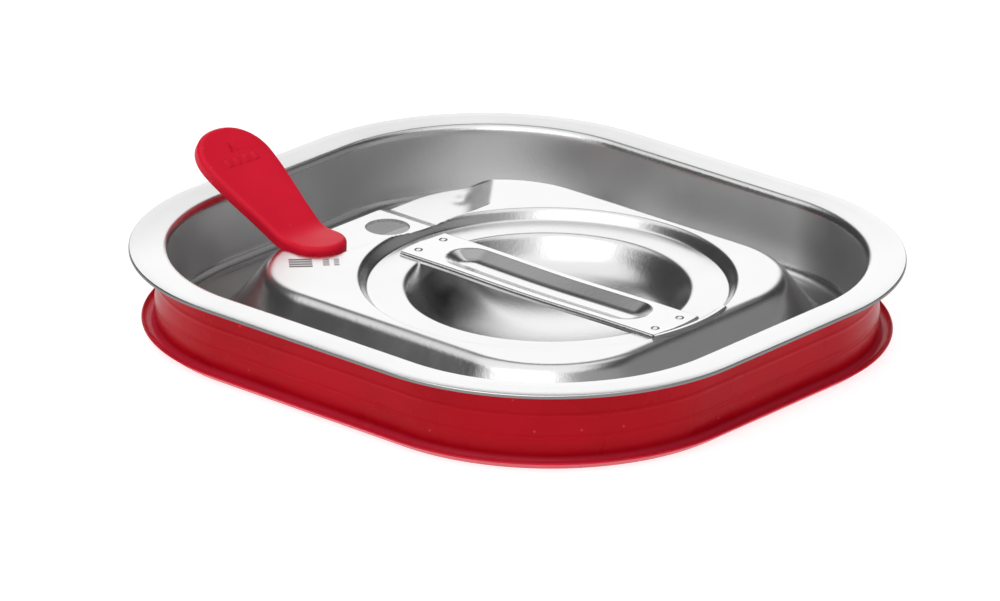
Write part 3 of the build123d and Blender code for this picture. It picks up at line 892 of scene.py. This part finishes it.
def steel(name, tone, rough, grain, etched=False, shaded_bank=False):
    """Polished pressed steel: a soft mirror with a fine grain that is coarser where the press stretched the sheet.

    etched adds the etched bars and paints shade on the flange's far and left sides as a darker grey. shaded_bank
    paints shade, a darker grey, on what faces the front."""
    material, nodes = new_material(name)
    texture = nodes.add("ShaderNodeTexCoord").outputs
    place = texture["Object"]
    facing = nodes.add("ShaderNodeSeparateXYZ", {"Vector": texture["Normal"]}).outputs
    upright = nodes.math("ABSOLUTE", facing["Z"])
    stretched = nodes.step(upright, 0.8, 0.97, 1, 0)
    wall = nodes.step(upright, 0.15, 0.45, 1, 0)
    fine = nodes.noise(place, 2600, 2)
    speckle = nodes.noise(place, 900, 2)
    wave = nodes.noise(place, 40, 1, 0.4)
    drawn = nodes.add("ShaderNodeMapping", {"Vector": place, "Rotation": (0, 0, 0.6), "Scale": (1, 22, 22)})
    scuff = nodes.noise(drawn.outputs[0], 420, 3, 0.6)
    cloud = nodes.noise(place, 38, 4, 0.6)
    roughness = nodes.step(cloud, 0.3, 0.75, rough - 0.02, rough + 0.04)
    roughness = nodes.math("ADD", roughness, nodes.step(scuff, 0.62, 0.8, 0, 0.08))
    roughness = nodes.math("ADD", roughness, nodes.math("MULTIPLY", wall, 0.12))
    normal = nodes.bump(wave, 0.00002)
    normal = nodes.bump(speckle, nodes.step(stretched, 0, 1, 0.000008 * grain, 0.000023 * grain), normal=normal)
    normal = nodes.bump(fine, nodes.step(stretched, 0, 1, 0.000006 * grain, 0.000026 * grain), normal=normal)
    colour = nodes.mix(nodes.step(cloud, 0.35, 0.7), grey(tone * 0.97), grey(tone))
    if shaded_bank:
        # Painted shade: level faces that tilt to the front, such as the far bank of the groove, are painted a darker
        # grey.
        bank = nodes.math("MULTIPLY", nodes.step(facing["Y"], -0.17, -0.1, 1, 0), nodes.step(upright, 0.85, 0.95))
        colour = nodes.mix(bank, colour, grey(tone * 0.42))
    if etched:
        split = nodes.add("ShaderNodeSeparateXYZ", {"Vector": place}).outputs
        # Painted shade: the flange's top is painted a darker grey along its far side and at its left end.
        level = nodes.step(split["Z"], (FLANGE_TOP - 0.4) * MM, (FLANGE_TOP - 0.1) * MM)
        lean = nodes.math("MULTIPLY", split["X"], -0.5)
        far = nodes.step(nodes.math("ADD", nodes.math("MULTIPLY", split["Y"], 0.85), lean), 0.01, 0.085)
        left = nodes.step(split["X"], -0.085, -0.06, 1, 0)
        colour = nodes.mix(nodes.math("MULTIPLY", level, far), colour, grey(tone * 0.82))
        colour = nodes.mix(nodes.math("MULTIPLY", level, left), colour, grey(tone * 0.78))
        mark = etched_mark(nodes, split["X"], split["Y"])
        colour = nodes.mix(nodes.math("MULTIPLY", mark, 0.75), colour, grey(0.16))
        roughness = nodes.math("ADD", roughness, nodes.math("MULTIPLY", mark, 0.3))
    shader = nodes.add(
        "ShaderNodeBsdfPrincipled",
        {"Base Color": colour, "Roughness": roughness, "Normal": normal, "Metallic": 1.0},
    )
    nodes.finish(shader)
    return material


def silicone(name, deep, bright, rough, sheen, fin_glow_height=0.0):
    """Glossy red silicone with a little light in it, fine moulding specks and a soft uneven sheen. Below
    fin_glow_height it is painted a lighter red, as painted light for the glow through the thin fin and the highlight
    on its tip.
    """
    material, nodes = new_material(name)
    place = nodes.add("ShaderNodeTexCoord").outputs["Object"]
    cloud = nodes.noise(place, 45, 3)
    fine = nodes.noise(place, 1500, 3)
    wave = nodes.noise(place, 90, 2)
    cells = nodes.add("ShaderNodeTexVoronoi", {"Vector": place, "Scale": 170.0, "Randomness": 1.0})
    fleck = nodes.step(cells.outputs["Distance"], 0.035, 0.075, 1, 0)
    colour = nodes.mix(nodes.step(cloud, 0.3, 0.7), deep, bright)
    colour = nodes.mix(nodes.math("MULTIPLY", fleck, 0.35), colour, (0.9, 0.12, 0.16, 1))
    if fin_glow_height:
        height = nodes.add("ShaderNodeSeparateXYZ", {"Vector": place}).outputs["Z"]
        # Painted light: below this height the fin is painted a lighter red for the light glowing through it and the
        # highlight on its tip.
        fin_glow = nodes.step(height, fin_glow_height - 0.0012, fin_glow_height, 1, 0)
        colour = nodes.mix(fin_glow, colour, (0.62, 0.02, 0.05, 1))
    roughness = nodes.step(cloud, 0.3, 0.75, rough - 0.05, rough + 0.06)
    normal = nodes.bump(wave, 0.00012)
    normal = nodes.bump(fine, 0.00001, normal=normal)
    normal = nodes.bump(fleck, 0.00002, normal=normal)
    shader = nodes.add(
        "ShaderNodeBsdfPrincipled",
        {
            "Base Color": colour,
            "Roughness": roughness,
            "Normal": normal,
            "IOR": 1.41,
            "Specular IOR Level": sheen,
            "Subsurface Weight": 0.35,
            "Subsurface Radius": (1.0, 0.12, 0.1),
            "Subsurface Scale": 0.0012,
        },
    )
    nodes.finish(shader)
    return material


def paint(piece, material):
    piece.data.materials.clear()
    piece.data.materials.append(material)


def paint_rim(piece, material):
    """Gives the sheet's cut edge, round the flange, a material of its own."""
    piece.data.materials.append(material)
    under = (FLANGE_TOP - SHEET + 0.02) * MM
    for face in piece.data.polygons:
        outwards = face.normal.x * face.center.x + face.normal.y * face.center.y > 0
        if face.center.z > under and face.normal.z < 0.7 and outwards:
            face.material_index = 1


paint(skin, steel("polished_sheet", 0.7, 0.22, 1.0, etched=True))
paint_rim(skin, steel("cut_edge", 0.3, 0.42, 1.0))
paint(strip, steel("strip_steel", 0.7, 0.2, 1.0, shaded_bank=True))
paint(welds, steel("weld_steel", 0.42, 0.3, 2.0))
paint(seal, silicone("seal_red", (0.46, 0.002, 0.010, 1), (0.52, 0.003, 0.013, 1), 0.3, 0.12, fin_glow_height=0.0031))
tab_red = silicone("tab_red", (0.80, 0.008, 0.035, 1), (0.88, 0.012, 0.045, 1), 0.45, 0.18)
paint(tab, tab_red)
paint(stem, tab_red)
paint(tab_marks, tab_red)

# ---- stage ----------------------------------------------------------------------------------------------------------

CAMERA_AZIMUTH = 41.3


def panel(nodes, flat, height, azimuth, half_width, softness, low, high, fade, strength):
    """Light from a soft-edged part of the sky. Azimuths are degrees round from the camera, positive to its right."""
    angle = math.radians(CAMERA_AZIMUTH + azimuth)
    towards = (math.sin(angle), -math.cos(angle), 0)
    facing = nodes.add("ShaderNodeVectorMath", {0: flat, 1: towards}, operation="DOT_PRODUCT").outputs["Value"]
    edge = [math.cos(math.radians(min(half_width + side * softness, 180))) for side in (1, -1)]
    across = nodes.step(facing, *edge) if half_width < 180 else 1.0
    rises = nodes.step(height, low - fade, low + fade)
    falls = nodes.step(height, high - fade, high + fade, strength, 0) if high < 90 else strength
    return nodes.math("MULTIPLY", nodes.math("MULTIPLY", across, rises), falls)


def make_world():
    """A soft studio: a bright ceiling, a large light to the left of the camera, and a white back."""
    world = bpy.data.worlds.new("studio")
    bpy.context.scene.world = world
    world.use_nodes = True
    nodes = Nodes(world.node_tree)
    direction = nodes.add("ShaderNodeTexCoord").outputs["Generated"]
    split = nodes.add("ShaderNodeSeparateXYZ", {"Vector": direction}).outputs
    height = nodes.math("DEGREES", nodes.math("ARCSINE", split["Z"]))
    level = nodes.add("ShaderNodeCombineXYZ", {"X": split["X"], "Y": split["Y"]}).outputs[0]
    flat = nodes.add("ShaderNodeVectorMath", {0: level}, operation="NORMALIZE").outputs["Vector"]
    ceiling = panel(nodes, flat, height, 0, 180, 0, 47, 90, 4, 1.15)
    shade = panel(nodes, flat, height, 85, 62, 12, -90, 66, 7, 1.0)
    light = nodes.math("ADD", 0.055, nodes.math("MULTIPLY", ceiling, nodes.math("SUBTRACT", 1, shade)))
    for values in (
        (-36, 38, 7, -60, 90, 5, 0.5),  # large light left of the camera
        (-36, 38, 9, 33, 66, 8, 0.7),  # its brighter upper half
        (42, 34, 14, -40, 62, 8, 0.35),  # grey fill to the right
        (100, 26, 14, 8, 44, 8, 0.22),  # faint fill past the right edge
        (180, 15, 5, -40, 34, 3, 1.36),  # white back
    ):
        light = nodes.math("ADD", light, panel(nodes, flat, height, *values))
    background = nodes.add("ShaderNodeBackground", {"Color": (1, 1, 1, 1), "Strength": light})
    nodes.add("ShaderNodeOutputWorld", {"Surface": background.outputs[0]})


def make_floor():
    """A plain white floor that glows so that it stays white to its edge, and glows less under the lid as a painted
    shadow there.
    """
    size = 8.0
    corners = [(-size, -size, 0), (size, -size, 0), (size, size, 0), (-size, size, 0)]
    mesh = bpy.data.meshes.new("floor")
    mesh.from_pydata(corners, [], [(0, 1, 2, 3)])
    floor = bpy.data.objects.new("floor", mesh)
    bpy.context.scene.collection.objects.link(floor)
    material, nodes = new_material("floor_white")
    place = nodes.add("ShaderNodeTexCoord").outputs["Object"]
    split = nodes.add("ShaderNodeSeparateXYZ", {"Vector": place}).outputs
    away = [
        nodes.math("POWER", nodes.math("ABSOLUTE", nodes.math("DIVIDE", split[axis], half * MM)), 4)
        for axis, half in (("X", HALF_LENGTH), ("Y", HALF_WIDTH))
    ]
    # Painted shadow: in the lid's footprint the floor's glow drops from 0.82 to 0.33.
    under = nodes.step(nodes.math("ADD", *away), 0.5, 0.62, 1, 0)
    glow = nodes.step(under, 0, 1, 0.82, 0.33)
    shader = nodes.add(
        "ShaderNodeBsdfPrincipled",
        {"Base Color": grey(0.4), "Roughness": 0.7, "Emission Color": grey(1), "Emission Strength": glow},
    )
    nodes.finish(shader)
    paint(floor, material)


make_world()
make_floor()
bpy.context.scene.view_settings.view_transform = "Standard"
